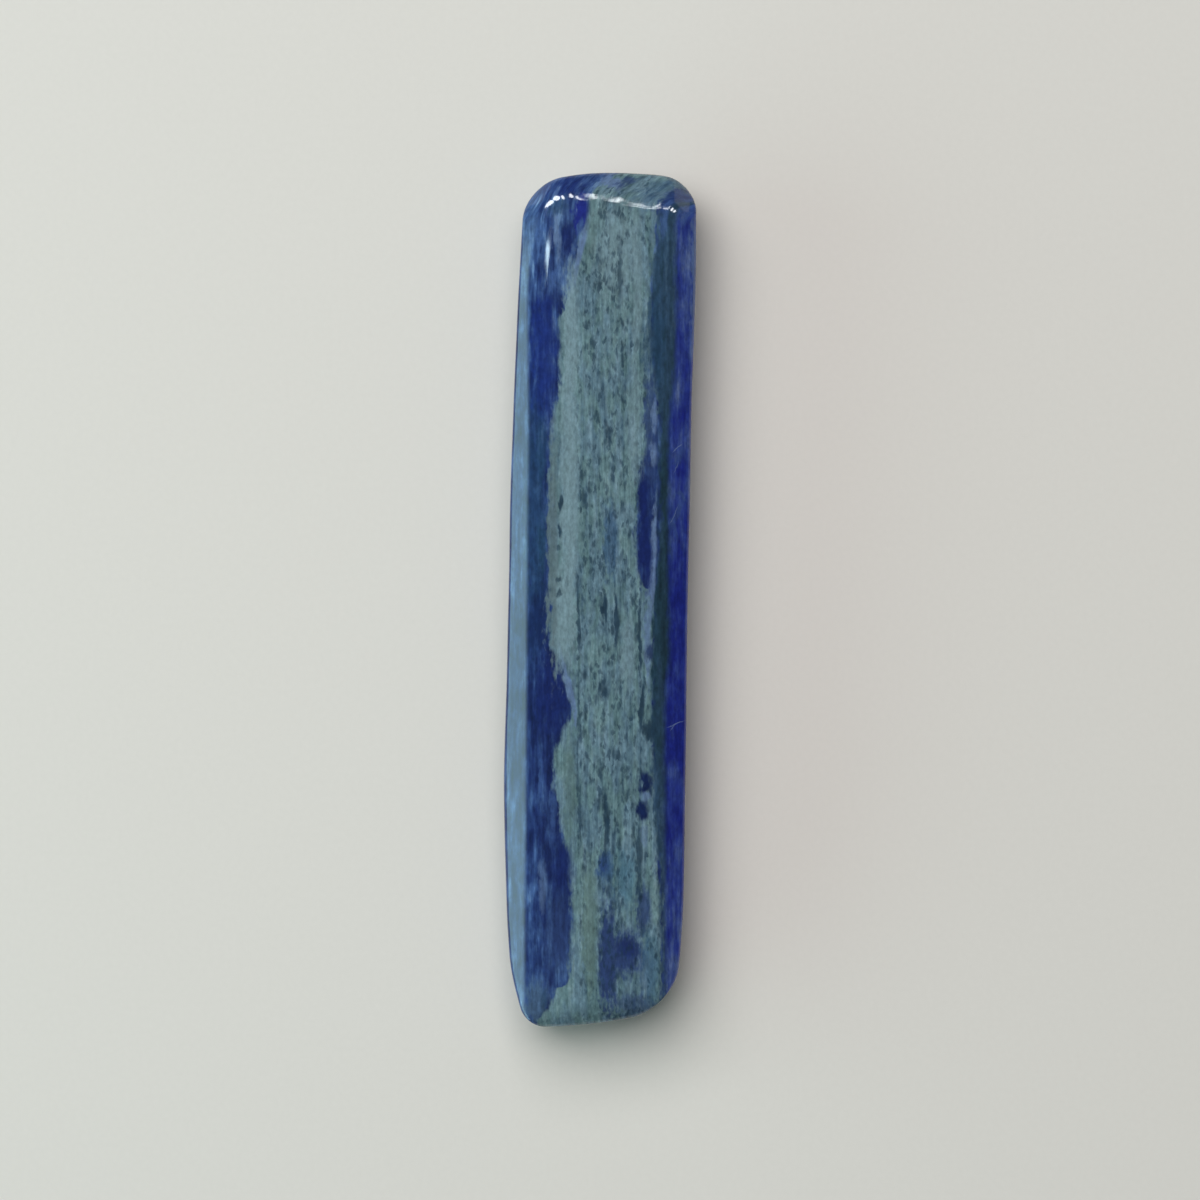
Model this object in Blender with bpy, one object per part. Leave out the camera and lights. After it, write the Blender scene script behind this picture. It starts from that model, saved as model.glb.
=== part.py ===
"""Polished bar of lapis lazuli: a long slip of stone with ground bevels, tumbled until its edges are round.

Metres, +Z up. The origin is the middle of the underside. The bar lies along Y, with its head at +Y
and its foot at -Y, and it rests on the flat that is lapped into its underside.
"""

import math

import bmesh
import bpy
import numpy as np
from mathutils import Vector, noise

MM = 0.001

# Driving dimensions, in millimetres and degrees
THICKNESS = 9.0  # underside to the top face, halfway along
THINNING = 0.005  # how much the bar thins per millimetre towards its foot
CROWN_ACROSS, CROWN_ALONG = 90.0, 2500.0  # radii of the barely domed top face

# Outline seen from above: each side bows through knots. A long side's knots are a place along Y
# and the distance there from the middle line. An end's are a place along X and the distance.
LEFT_SIDE = (
    (-44.0, 6.9),
    (-40.0, 8.15),
    (-37.0, 8.85),
    (-33.0, 9.22),
    (-28.0, 9.42),
    (-20.0, 9.6),
    (-6.0, 9.25),
    (10.0, 8.95),
    (26.0, 8.35),
    (37.0, 7.8),
    (44.0, 7.35),
)
RIGHT_SIDE = (
    (-44.0, 6.5),
    (-38.0, 7.7),
    (-33.0, 8.2),
    (-20.0, 8.5),
    (0.0, 8.8),
    (20.0, 9.2),
    (34.0, 9.6),
    (44.0, 9.6),
)
HEAD_END = ((-10.0, 41.3), (-5.0, 42.0), (-1.0, 42.58), (2.0, 42.66), (5.5, 42.5), (10.0, 41.8))
FOOT_END = ((-10.0, 42.5), (-5.5, 42.6), (0.0, 42.22), (4.0, 41.5), (10.0, 39.6))
HEAD_LEFT_RADIUS, HEAD_RIGHT_RADIUS = 3.8, 3.1
FOOT_LEFT_RADIUS, FOOT_RIGHT_RADIUS = 1.9, 3.8

# Ridges where bevels start on the top, as knots like the outline's
LEFT_RIDGE = (
    (-44.0, 6.3),
    (27.0, 6.3),
    (31.0, 6.28),
    (33.2, 6.15),
    (35.2, 5.87),
    (37.2, 5.45),
    (39.2, 4.95),
    (44.0, 3.5),
)
RIGHT_RIDGE = ((-44.0, 6.2), (0.0, 6.5), (44.0, 7.7))
HEAD_RIDGE = (
    (-9.0, 35.5),
    (-6.6, 38.0),
    (-5.2, 39.6),
    (-4.0, 40.2),
    (-0.9, 40.4),
    (2.0, 40.05),
    (4.4, 39.6),
    (6.4, 39.3),
    (7.6, 38.8),
    (9.0, 37.3),
)
FOOT_RIDGE = ((-10.0, 42.0), (10.0, 39.3))

# Bevels ground into the top. Each falls away by its tilt towards one side, beyond its ridge, which
# is worn to a radius.
BEVELS = (
    {"towards": (-1.0, 0.0), "ridge": LEFT_RIDGE, "tilt": 33.0, "radius": 4.4},
    {"towards": (1.0, 0.0), "ridge": RIGHT_RIDGE, "tilt": 36.0, "radius": 2.2},
    {"towards": (0.0, 1.0), "ridge": HEAD_RIDGE, "tilt": 38.0, "radius": 2.4},
    {"towards": (0.0, -1.0), "ridge": FOOT_RIDGE, "tilt": 40.0, "radius": 2.4},
)

# Sides and underside: a narrow bevel runs all round between the leaning sides and the flat
SIDE_LEAN = 0.06  # how far the sides draw in per millimetre below the girdle
GIRDLE_Z, GIRDLE_RADIUS, GIRDLE_TURN = 5.4, 0.5, 56.0
UNDER_BEVEL, UNDER_TILT, UNDER_RADIUS = 2.3, 36.0, 2.6
LAPPED_DEPTH = 0.1  # all that is this near the underside's plane is lapped down to it

# Faint waves left by grinding by hand
WAVE_HEIGHT, WAVE_LENGTH = 0.05, 8.0

# Grid of the block that is ground to shape: its faces each way, and how they crowd where the stone
# turns, as pairs of a grid line's place and where it goes, from the middle at 0 to the end at 1
FACES_ACROSS, FACES_ALONG, FACES_UP = 24, 64, 8
CROWD_ACROSS = ((0.0, 0.0), (0.35, 0.47), (0.8, 0.82), (1.0, 1.0))
CROWD_ALONG = ((0.0, 0.0), (0.6, 0.8), (1.0, 1.0))
CROWD_UP = ((0.0, 0.0), (0.3, 0.45), (1.0, 1.0))
BLOCK_SIZE = (19.2, 85.25, 9.0)
SPINE_HALF_LENGTH, SPINE_Z = 34.0, 4.2  # line in the stone from which its surface is reached


def clear_scene():
    """Removes what the startup scene holds."""
    for obj in list(bpy.data.objects):
        bpy.data.objects.remove(obj, do_unlink=True)


def bowed(knots, place):
    """Distances of a smooth line through knots, read at each place of an array."""
    places, distances = np.array(knots).T
    slopes = np.gradient(distances, places)
    before = np.clip(np.searchsorted(places, place) - 1, 0, len(places) - 2)
    span = places[before + 1] - places[before]
    share = np.clip((place - places[before]) / span, 0.0, 1.0)
    rise = (distances[before + 1] - distances[before]) * share * share * (3 - 2 * share)
    bend = slopes[before] * (1 - share) - slopes[before + 1] * share
    return distances[before] + rise + span * share * (1 - share) * bend


def worn(first, second, radius, turn=90.0):
    """Two ground faces that turn by an angle where they meet, with the edge worn to a radius."""
    angle = math.radians(turn)
    depth = radius * math.sin(angle) * math.tan(angle / 2)
    over_first = np.maximum(first + depth, 0.0)
    over_second = np.maximum(second + depth, 0.0)
    return np.minimum(np.maximum(first, second), -depth) + np.hypot(over_first, over_second)


def slope(across, above, tilt):
    """Distance above a face that falls away from the line where across and above are 0."""
    angle = math.radians(tilt)
    return across * math.sin(angle) + above * math.cos(angle)


def outside_outline(x, y):
    """How far each point is outside the outline, in millimetres, less than 0 inside it."""
    left, right = -x - bowed(LEFT_SIDE, y), x - bowed(RIGHT_SIDE, y)
    head, foot = y - bowed(HEAD_END, x), -y - bowed(FOOT_END, x)
    corners = (
        worn(left, head, HEAD_LEFT_RADIUS),
        worn(right, head, HEAD_RIGHT_RADIUS),
        worn(left, foot, FOOT_LEFT_RADIUS),
        worn(right, foot, FOOT_RIGHT_RADIUS),
    )
    return np.maximum.reduce(corners)


def outside_stone(points):
    """How far each point is outside the finished stone, in millimetres, less than 0 inside it."""
    x, y, z = points.T
    top = THICKNESS + THINNING * y - x * x / (2 * CROWN_ACROSS) - y * y / (2 * CROWN_ALONG)
    above = z - top
    skin = above
    for bevel in BEVELS:
        across, along = bevel["towards"]
        beyond = x * across + y * along - bowed(bevel["ridge"], y * abs(across) + x * abs(along))
        skin = worn(skin, slope(beyond, above, bevel["tilt"]), bevel["radius"], bevel["tilt"])
    side = outside_outline(x, y) + SIDE_LEAN * np.maximum(GIRDLE_Z - z, 0.0)
    skin = worn(skin, side, GIRDLE_RADIUS, GIRDLE_TURN)
    skin = worn(skin, slope(side + UNDER_BEVEL, -z, UNDER_TILT), UNDER_RADIUS, 90.0 - UNDER_TILT)
    return worn(skin, -z, UNDER_RADIUS, UNDER_TILT)


def crowded(place, pairs):
    """Where a grid line goes that lies at this place between -1 and 1."""
    before, after = zip(*pairs)
    return math.copysign(np.interp(abs(place), before, after), place)


def gridded_block():
    """A box the size of the stone, cut into a grid whose lines crowd where the stone turns."""
    block = bmesh.new()
    bmesh.ops.create_cube(block, size=2.0)
    for axis, faces in enumerate((FACES_ACROSS, FACES_ALONG, FACES_UP)):
        edges = [e for e in block.edges if abs(e.verts[0].co[axis] - e.verts[1].co[axis]) > 1.0]
        bmesh.ops.subdivide_edges(block, edges=edges, cuts=faces - 1, use_grid_fill=True)
    width, length, height = BLOCK_SIZE
    for vertex in block.verts:
        x, y, z = vertex.co
        vertex.co = (
            width / 2 * crowded(x, CROWD_ACROSS),
            length / 2 * crowded(y, CROWD_ALONG),
            height / 2 * (1 + crowded(z, CROWD_UP)),
        )
    return block


def grind(block):
    """Moves every point of the block in line with the stone's spine until it is on the surface."""
    box = np.array([vertex.co for vertex in block.verts])
    spine = np.zeros_like(box)
    spine[:, 1] = np.clip(box[:, 1], -SPINE_HALF_LENGTH, SPINE_HALF_LENGTH)
    spine[:, 2] = SPINE_Z
    inner, outer = np.full(len(box), 0.2), np.full(len(box), 1.6)
    for _ in range(30):
        share = (inner + outer) / 2
        outside = outside_stone(spine + share[:, None] * (box - spine)) > 0
        inner, outer = np.where(outside, inner, share), np.where(outside, share, outer)
    ground = spine + inner[:, None] * (box - spine)
    ground[ground[:, 2] < LAPPED_DEPTH, 2] = 0.0
    for vertex, place in zip(block.verts, ground):
        vertex.co = place


def add_waves(block):
    """Faint waves from hand grinding, everywhere but on the lapped flat."""
    block.normal_update()
    for vertex in block.verts:
        height = min(vertex.co.z / 2.0, 1.0) * WAVE_HEIGHT
        vertex.co += vertex.normal * (noise.noise(Vector(vertex.co) / WAVE_LENGTH) * height)


def stone_finish():
    """Polished ultramarine blue stone."""
    material = bpy.data.materials.new("polished_lapis")
    material.use_nodes = True
    surface = material.node_tree.nodes["Principled BSDF"]
    surface.inputs["Base Color"].default_value = (0.022, 0.047, 0.17, 1.0)
    surface.inputs["Roughness"].default_value = 0.12
    surface.inputs["Metallic"].default_value = 0.0
    return material


def build_bar(collection):
    """The stone as one solid."""
    block = gridded_block()
    grind(block)
    add_waves(block)
    bmesh.ops.scale(block, vec=(MM, MM, MM), verts=block.verts)
    mesh = bpy.data.meshes.new("lapis_bar")
    block.to_mesh(mesh)
    block.free()
    mesh.shade_smooth()
    mesh.materials.append(stone_finish())
    bar = bpy.data.objects.new("lapis_bar", mesh)
    collection.objects.link(bar)
    return bar


def main():
    """Builds the bar in its own collection."""
    clear_scene()
    collection = bpy.data.collections.new("polished_lapis_bar")
    bpy.context.scene.collection.children.link(collection)
    build_bar(collection)


main()
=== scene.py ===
"""Dressed model of the polished lapis lazuli bar: its fine surface, its banded stone and a soft studio."""

from __future__ import annotations

import logging
import math
from collections.abc import Sequence
from dataclasses import dataclass
from enum import Enum

import bmesh
import bpy
import numpy as np
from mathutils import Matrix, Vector, noise

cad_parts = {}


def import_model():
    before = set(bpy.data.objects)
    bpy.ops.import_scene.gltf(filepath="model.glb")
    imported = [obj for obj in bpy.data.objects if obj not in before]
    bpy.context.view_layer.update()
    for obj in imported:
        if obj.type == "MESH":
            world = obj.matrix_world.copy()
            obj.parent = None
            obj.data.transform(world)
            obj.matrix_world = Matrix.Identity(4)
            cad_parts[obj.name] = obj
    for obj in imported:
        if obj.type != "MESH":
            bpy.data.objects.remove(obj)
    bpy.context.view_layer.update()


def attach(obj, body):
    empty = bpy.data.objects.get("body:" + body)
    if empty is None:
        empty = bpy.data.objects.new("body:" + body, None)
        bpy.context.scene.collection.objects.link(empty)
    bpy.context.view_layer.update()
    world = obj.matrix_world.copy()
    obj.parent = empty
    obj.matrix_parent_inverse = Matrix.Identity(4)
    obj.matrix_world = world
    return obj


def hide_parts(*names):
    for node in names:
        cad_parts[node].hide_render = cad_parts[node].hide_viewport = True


MM = 0.001
STONE_NODE = "lapis_bar"

Pair = tuple[float, float]
Knots = tuple[Pair, ...]
Triple = tuple[float, float, float]
Screen = tuple[int, int, int]
Tones = tuple[tuple[float, Screen], ...]

log = logging.getLogger("lapis_bar")


# Shader maths


@dataclass(frozen=True)
class Pattern:
    """A noise: its blotches' size each way in millimetres, its finer layers, its seed and its weight."""

    size: Triple
    detail: float = 2.0
    seed: float = 0.0
    weight: float = 1.0


class Link:
    """An output socket of a shader node, on which sums are written as Python expressions."""

    def __init__(self, shader: Shader, socket: bpy.types.NodeSocket) -> None:
        """Keeps the socket and the shader that it belongs to."""
        self.shader = shader
        self.socket = socket

    def __add__(self, other: Link | float) -> Link:
        """Sum of two values."""
        return self.shader.sum("ADD", self, other)

    def __radd__(self, other: Link | float) -> Link:
        """Sum of two values."""
        return self.shader.sum("ADD", other, self)

    def __sub__(self, other: Link | float) -> Link:
        """Difference of two values."""
        return self.shader.sum("SUBTRACT", self, other)

    def __rsub__(self, other: Link | float) -> Link:
        """Difference of two values."""
        return self.shader.sum("SUBTRACT", other, self)

    def __mul__(self, other: Link | float) -> Link:
        """Product of two values."""
        return self.shader.sum("MULTIPLY", self, other)

    def __rmul__(self, other: Link | float) -> Link:
        """Product of two values."""
        return self.shader.sum("MULTIPLY", other, self)

    def __truediv__(self, other: Link | float) -> Link:
        """Quotient of two values."""
        return self.shader.sum("DIVIDE", self, other)


class Shader:
    """A node tree that is built from expressions."""

    def __init__(self, owner: bpy.types.Material | bpy.types.Light | bpy.types.World, result: str) -> None:
        """Starts on the nodes of a material, light or world.

        Args:
            owner: What the nodes belong to.
            result: Name of the node that the result comes from.
        """
        owner.use_nodes = True
        self.tree = owner.node_tree
        self.result = self.tree.nodes[result]

    def node(
        self, kind: str, settings: dict[str, object], sockets: dict[str | int, object]
    ) -> bpy.types.Node:
        """Adds a node.

        Args:
            kind: The node's type.
            settings: Values of its properties, set first. "knots" and "stops" are a curve's and a ramp's.
            sockets: Numbers, tuples or links for its inputs, by name or number.

        Returns:
            The new node.
        """
        node = self.tree.nodes.new(kind)
        for name, value in settings.items():
            if name == "knots":
                self._set_knots(node, value)
            elif name == "stops":
                self._set_stops(node, value)
            else:
                setattr(node, name, value)
        for key, value in sockets.items():
            self.feed(node.inputs[key], value)
        return node

    def feed(self, socket: bpy.types.NodeSocket, value: object) -> None:
        """Links a value to a socket, or sets the socket to a constant.

        Args:
            socket: The input that gets the value.
            value: A link, a number or a tuple.
        """
        if isinstance(value, Link):
            self.tree.links.new(value.socket, socket)
        else:
            socket.default_value = value

    @staticmethod
    def _set_knots(node: bpy.types.Node, knots: Sequence[Pair]) -> None:
        """Gives a curve node its points.

        Args:
            node: The curve node.
            knots: The points from left to right, between 0 and 1 both ways.
        """
        points = node.mapping.curves[0].points
        while len(points) < len(knots):
            points.new(0.5, 0.5)
        for point, place in zip(points, knots):
            point.location = place
            point.handle_type = "AUTO_CLAMPED"
        node.mapping.update()

    @staticmethod
    def _set_stops(node: bpy.types.Node, tones: Tones) -> None:
        """Gives a ramp node its colours.

        Args:
            node: The ramp node.
            tones: Pairs of a place between 0 and 1 and the colour there.
        """
        stops = node.color_ramp.elements
        while len(stops) < len(tones):
            stops.new(1.0)
        for stop, (position, tone) in zip(stops, tones):
            stop.position = position
            stop.color = colour(*tone)

    def sum(self, operation: str, *values: Link | float) -> Link:
        """Result of one Math node."""
        sockets = dict(enumerate(values))
        return Link(self, self.node("ShaderNodeMath", {"operation": operation}, sockets).outputs[0])

    def vector(self, operation: str, *values: Link | Triple, scale: float = 1.0) -> Link:
        """Result of one Vector Math node.

        Args:
            operation: What the node does.
            values: Its inputs, as links or constant vectors.
            scale: The factor of a SCALE operation.

        Returns:
            A vector, or a number where the operation gives one.
        """
        sockets: dict[str | int, object] = dict(enumerate(values))
        if operation == "SCALE":
            sockets["Scale"] = scale
        node = self.node("ShaderNodeVectorMath", {"operation": operation}, sockets)
        return Link(self, node.outputs["Value" if operation in ("LENGTH", "DOT_PRODUCT") else "Vector"])

    def place(self) -> Link:
        """Place on the piece, in millimetres."""
        node = self.node("ShaderNodeTexCoord", {}, {})
        return self.vector("SCALE", Link(self, node.outputs["Object"]), scale=1 / MM)

    def parts(self, vector: Link) -> tuple[Link, Link, Link]:
        """The three parts of a vector."""
        node = self.node("ShaderNodeSeparateXYZ", {}, {0: vector})
        return Link(self, node.outputs[0]), Link(self, node.outputs[1]), Link(self, node.outputs[2])

    def joined(self, x: Link | float, y: Link | float, z: Link | float) -> Link:
        """A vector of three values."""
        return Link(self, self.node("ShaderNodeCombineXYZ", {}, {0: x, 1: y, 2: z}).outputs[0])

    def turned(self, place: Link, turn: float) -> Link:
        """Place in a frame that is turned about the upright axis.

        Args:
            place: The place in the frame that isn't turned.
            turn: The angle in degrees.

        Returns:
            The place across and along the turned frame.
        """
        cosine, sine = math.cos(math.radians(turn)), math.sin(math.radians(turn))
        across = self.vector("DOT_PRODUCT", place, (cosine, sine, 0.0))
        along = self.vector("DOT_PRODUCT", place, (-sine, cosine, 0.0))
        return self.joined(across, along, 0.0)

    def ellipse(self, turned: Link, middle: Pair, size: Pair, turn: float) -> Link:
        """How far away an ellipse is.

        Args:
            turned: Place in the ellipse's own turned frame.
            middle: The ellipse's middle in the frame that isn't turned.
            size: Its half width and half length.
            turn: The angle of its frame, in degrees.

        Returns:
            0 in the middle, 1 on the rim.
        """
        cosine, sine = math.cos(math.radians(turn)), math.sin(math.radians(turn))
        across = (middle[0] * cosine + middle[1] * sine) / size[0]
        along = (middle[1] * cosine - middle[0] * sine) / size[1]
        scale = (1 / size[0], 1 / size[1], 0.0)
        return self.vector("LENGTH", self.vector("MULTIPLY_ADD", turned, scale, (-across, -along, 0.0)))

    def level(self, value: Link, low: float, high: float, top: float = 1.0) -> Link:
        """Rises smoothly with a value.

        Args:
            value: What it follows.
            low: The value up to which it is 0.
            high: The value from which it is at its top.
            top: The top.

        Returns:
            The risen value.
        """
        sockets = {"Value": value, "From Min": low, "From Max": high, "To Min": 0.0, "To Max": top}
        settings = {"interpolation_type": "SMOOTHSTEP", "clamp": False}
        node = self.node("ShaderNodeMapRange", settings, sockets)
        return Link(self, node.outputs[0])

    def curve(self, value: Link, knots: Knots) -> Link:
        """A smooth line through knots.

        Args:
            value: Where along the line to read it.
            knots: Pairs of a place and the value there, from the lowest place to the highest.

        Returns:
            The value of the line, which stays level beyond the outer knots.
        """
        start, span = knots[0][0], knots[-1][0] - knots[0][0]
        low = min(height for _, height in knots) - 1.0
        high = max(height for _, height in knots) + 1.0
        scaled = [((place - start) / span, (height - low) / (high - low)) for place, height in knots]
        inside = self.node("ShaderNodeClamp", {}, {"Value": (value - start) / span})
        sockets = {"Value": Link(self, inside.outputs[0])}
        line = self.node("ShaderNodeFloatCurve", {"knots": scaled}, sockets)
        return Link(self, line.outputs[0]) * (high - low) + low

    def noise(self, place: Link, pattern: Pattern) -> Link:
        """Smooth noise around 0, which seldom passes 0.3 either way before it is weighted.

        Args:
            place: Where to read it, in millimetres.
            pattern: What it is like.

        Returns:
            The noise times its weight.
        """
        moved = self._moved(place, pattern.size, pattern.seed)
        sockets = {"Vector": moved, "Scale": 1.0, "Detail": pattern.detail, "Roughness": 0.55}
        centred = Link(self, self.node("ShaderNodeTexNoise", {}, sockets).outputs[0]) - 0.5
        return centred if pattern.weight == 1.0 else centred * pattern.weight

    def cells(self, place: Link, size: Triple, seed: float = 0.0) -> tuple[Link, Link]:
        """Points scattered through space.

        Args:
            place: Where to read them, in millimetres.
            size: Their spacing each way, in millimetres.
            seed: Shift that gives each use its own pattern.

        Returns:
            The distance to the nearest point, where 1 is the spacing, and that point's lot from 0 to 1.
        """
        moved = self._moved(place, size, seed)
        node = self.node("ShaderNodeTexVoronoi", {}, {"Vector": moved, "Scale": 1.0})
        lot, _, _ = self.parts(Link(self, node.outputs["Color"]))
        return Link(self, node.outputs["Distance"]), lot

    def _moved(self, place: Link, size: Triple, seed: float) -> Link:
        """Place measured in a texture's own sizes, and shifted so that each seed has its own pattern."""
        shrink = tuple(1 / length for length in size)
        return self.vector("MULTIPLY_ADD", place, shrink, (seed, seed * 0.7, -seed))

    def ramp(self, value: Link, tones: Tones) -> Link:
        """The colour of a row of tones at a value between 0 and 1."""
        return Link(self, self.node("ShaderNodeValToRGB", {"stops": tones}, {0: value}).outputs[0])

    def blend(self, share: Link | float, first: object, second: object, mode: str = "MIX") -> Link:
        """Mixes two colours.

        Args:
            share: How much of the second colour there is.
            first: A link or a colour with its alpha.
            second: A link or a colour with its alpha.
            mode: How the second colour is laid over the first.

        Returns:
            The mixed colour.
        """
        settings = {"data_type": "RGBA", "blend_type": mode}
        node = self.node("ShaderNodeMix", settings, {0: share, 6: first, 7: second})
        return Link(self, node.outputs[2])

    def bump(self, height: Link, distance: float) -> Link:
        """A normal that is tilted by a height, where 1 stands for a distance in metres."""
        node = self.node("ShaderNodeBump", {}, {"Height": height, "Distance": distance, "Strength": 1.0})
        return Link(self, node.outputs[0])


def colour(red: int, green: int, blue: int) -> tuple[float, float, float, float]:
    """Turns a screen colour into the one that shaders take.

    Args:
        red: From 0 to 255.
        green: From 0 to 255.
        blue: From 0 to 255.

    Returns:
        The linear colour, with its alpha.
    """
    shares = (red / 255, green / 255, blue / 255)
    linear = [c / 12.92 if c <= 0.04045 else ((c + 0.055) / 1.055) ** 2.4 for c in shares]
    return (linear[0], linear[1], linear[2], 1.0)


# The stone's material


class Mineral(Enum):
    """The stone's minerals and mixtures, each with its colour. SOFT_BLUE and VIOLET_GREY also serve for
    two painted reflections on the right edge.
    """

    DEEP_BLUE = (19, 34, 86)
    ROYAL_BLUE = (21, 40, 106)
    VIOLET_BLUE = (28, 40, 116)
    SOFT_BLUE = (58, 84, 132)
    NAVY = (17, 34, 74)
    DUSK_BLUE = (42, 60, 101)
    VIOLET_GREY = (90, 112, 146)
    PALE_BLUE = (122, 144, 176)
    SLATE = (52, 80, 112)
    GREY_GREEN = (90, 115, 122)
    PALE_GREEN = (110, 134, 143)
    BROWN_GREY = (84, 101, 108)
    OLIVE_GREEN = (86, 109, 107)
    TEAL = (66, 102, 122)
    DARK_TEAL = (30, 57, 84)
    DARK_GREEN = (28, 50, 68)

    @property
    def linear(self) -> tuple[float, float, float, float]:
        """The colour as shaders take it."""
        return colour(*self.value)


@dataclass(frozen=True)
class Mark:
    """A patch, streak or line in one mineral's colour: a ragged ellipse on the top face, in millimetres.
    Most are the stone's own minerals; two are painted reflections on the right edge.
    """

    mineral: Mineral
    x: float
    y: float
    half_width: float
    half_length: float
    turn: float = 0.0
    strength: float = 1.0


HEAD_MARKS = (
    Mark(Mineral.ROYAL_BLUE, -4.8, 41.2, 2.6, 1.0, strength=0.45),
    Mark(Mineral.DARK_TEAL, -4.5, 39.2, 1.0, 0.9, strength=0.6),
    Mark(Mineral.VIOLET_BLUE, -2.0, 38.6, 0.8, 1.8),
    Mark(Mineral.SOFT_BLUE, -2.9, 38.0, 0.25, 0.6, strength=0.8),
    Mark(Mineral.SOFT_BLUE, -1.95, 37.3, 0.18, 0.7, strength=0.8),
    Mark(Mineral.SOFT_BLUE, -6.25, 36.9, 0.35, 1.6, strength=0.6),
    Mark(Mineral.VIOLET_GREY, -4.4, 36.8, 0.3, 1.6, strength=0.8),
    Mark(Mineral.VIOLET_GREY, -4.1, 34.9, 0.25, 1.6, strength=0.6),
    Mark(Mineral.DEEP_BLUE, -3.2, 35.8, 0.7, 2.2, strength=0.8),
    Mark(Mineral.VIOLET_GREY, -1.9, 35.0, 0.35, 2.6, turn=-16.0),
    Mark(Mineral.VIOLET_GREY, -2.7, 31.6, 0.28, 2.0, turn=-12.0, strength=0.7),
    Mark(Mineral.SOFT_BLUE, -3.3, 33.2, 0.22, 2.2, turn=-18.0, strength=0.8),
    Mark(Mineral.SOFT_BLUE, -4.6, 32.2, 0.3, 2.2, turn=-20.0, strength=0.8),
    Mark(Mineral.VIOLET_GREY, -0.2, 41.6, 0.4, 1.6, turn=59.0, strength=0.9),
    Mark(Mineral.DUSK_BLUE, 1.0, 41.7, 0.7, 0.6, strength=0.8),
    Mark(Mineral.SLATE, 4.3, 40.6, 1.6, 1.6, strength=0.5),
    Mark(Mineral.ROYAL_BLUE, 5.9, 40.4, 0.8, 2.2, strength=0.6),
    Mark(Mineral.SOFT_BLUE, 6.3, 38.2, 0.35, 2.2, strength=0.6),
    # Painted reflection: a pale blue streak on the steep corner at the head's right end, standing in for a
    # window's reflection
    Mark(Mineral.SOFT_BLUE, 8.1, 39.2, 0.7, 1.7, strength=0.6),
)

LEFT_MARKS = (
    Mark(Mineral.DARK_TEAL, -6.5, 7.5, 1.1, 13.5, strength=0.6),
    Mark(Mineral.ROYAL_BLUE, -5.6, 24.5, 1.4, 6.5, strength=0.7),
    Mark(Mineral.DARK_TEAL, -5.9, 15.0, 0.5, 3.5, strength=0.5),
    Mark(Mineral.DARK_TEAL, -5.8, 5.4, 0.5, 2.6, strength=0.8),
    Mark(Mineral.NAVY, -6.2, -2.2, 1.1, 3.0, strength=0.8),
    Mark(Mineral.DEEP_BLUE, -4.7, -9.2, 1.8, 4.0, strength=0.9),
    Mark(Mineral.VIOLET_GREY, -3.2, -8.4, 0.28, 4.2, turn=13.0, strength=0.9),
    Mark(Mineral.SOFT_BLUE, -6.05, -17.8, 0.2, 2.0, strength=0.5),
    Mark(Mineral.SOFT_BLUE, -4.7, -21.0, 0.3, 2.5, strength=0.5),
    Mark(Mineral.VIOLET_GREY, -5.8, -28.2, 0.4, 2.4, strength=0.4),
    Mark(Mineral.DEEP_BLUE, -3.8, -26.8, 1.1, 2.6, strength=0.8),
    Mark(Mineral.DUSK_BLUE, -4.2, -33.4, 1.3, 4.0, strength=0.5),
    Mark(Mineral.GREY_GREEN, -6.4, -40.2, 1.3, 2.4, strength=0.3),
    Mark(Mineral.DARK_TEAL, -5.5, -39.6, 0.35, 1.1, strength=0.5),
)

BAND_PATCHES = (
    # Blue and teal
    Mark(Mineral.SLATE, 1.1, 5.8, 0.75, 3.8, strength=0.75),
    Mark(Mineral.TEAL, 2.5, -27.6, 1.2, 2.8, strength=0.6),
    Mark(Mineral.SLATE, 0.55, -26.6, 0.8, 1.6, strength=0.9),
    Mark(Mineral.ROYAL_BLUE, 0.35, -26.2, 0.5, 1.1, strength=0.5),
    # Paler towards the head
    Mark(Mineral.PALE_GREEN, 1.6, 34.5, 2.2, 5.0, strength=0.7),
    # Blue at the foot
    Mark(Mineral.DUSK_BLUE, 0.8, -35.6, 0.9, 5.8),
    Mark(Mineral.DUSK_BLUE, 2.4, -35.2, 2.0, 2.3),
    Mark(Mineral.DUSK_BLUE, 4.3, -30.8, 0.8, 2.3, strength=0.85),
    Mark(Mineral.DUSK_BLUE, 3.3, -40.4, 2.4, 1.2, strength=0.6),
    Mark(Mineral.DEEP_BLUE, 2.8, -34.6, 0.9, 1.1, strength=0.6),
    Mark(Mineral.TEAL, 5.0, -36.5, 0.9, 3.4, strength=0.6),
    Mark(Mineral.DUSK_BLUE, 4.6, -37.5, 0.9, 3.0, strength=0.35),
)

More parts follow.
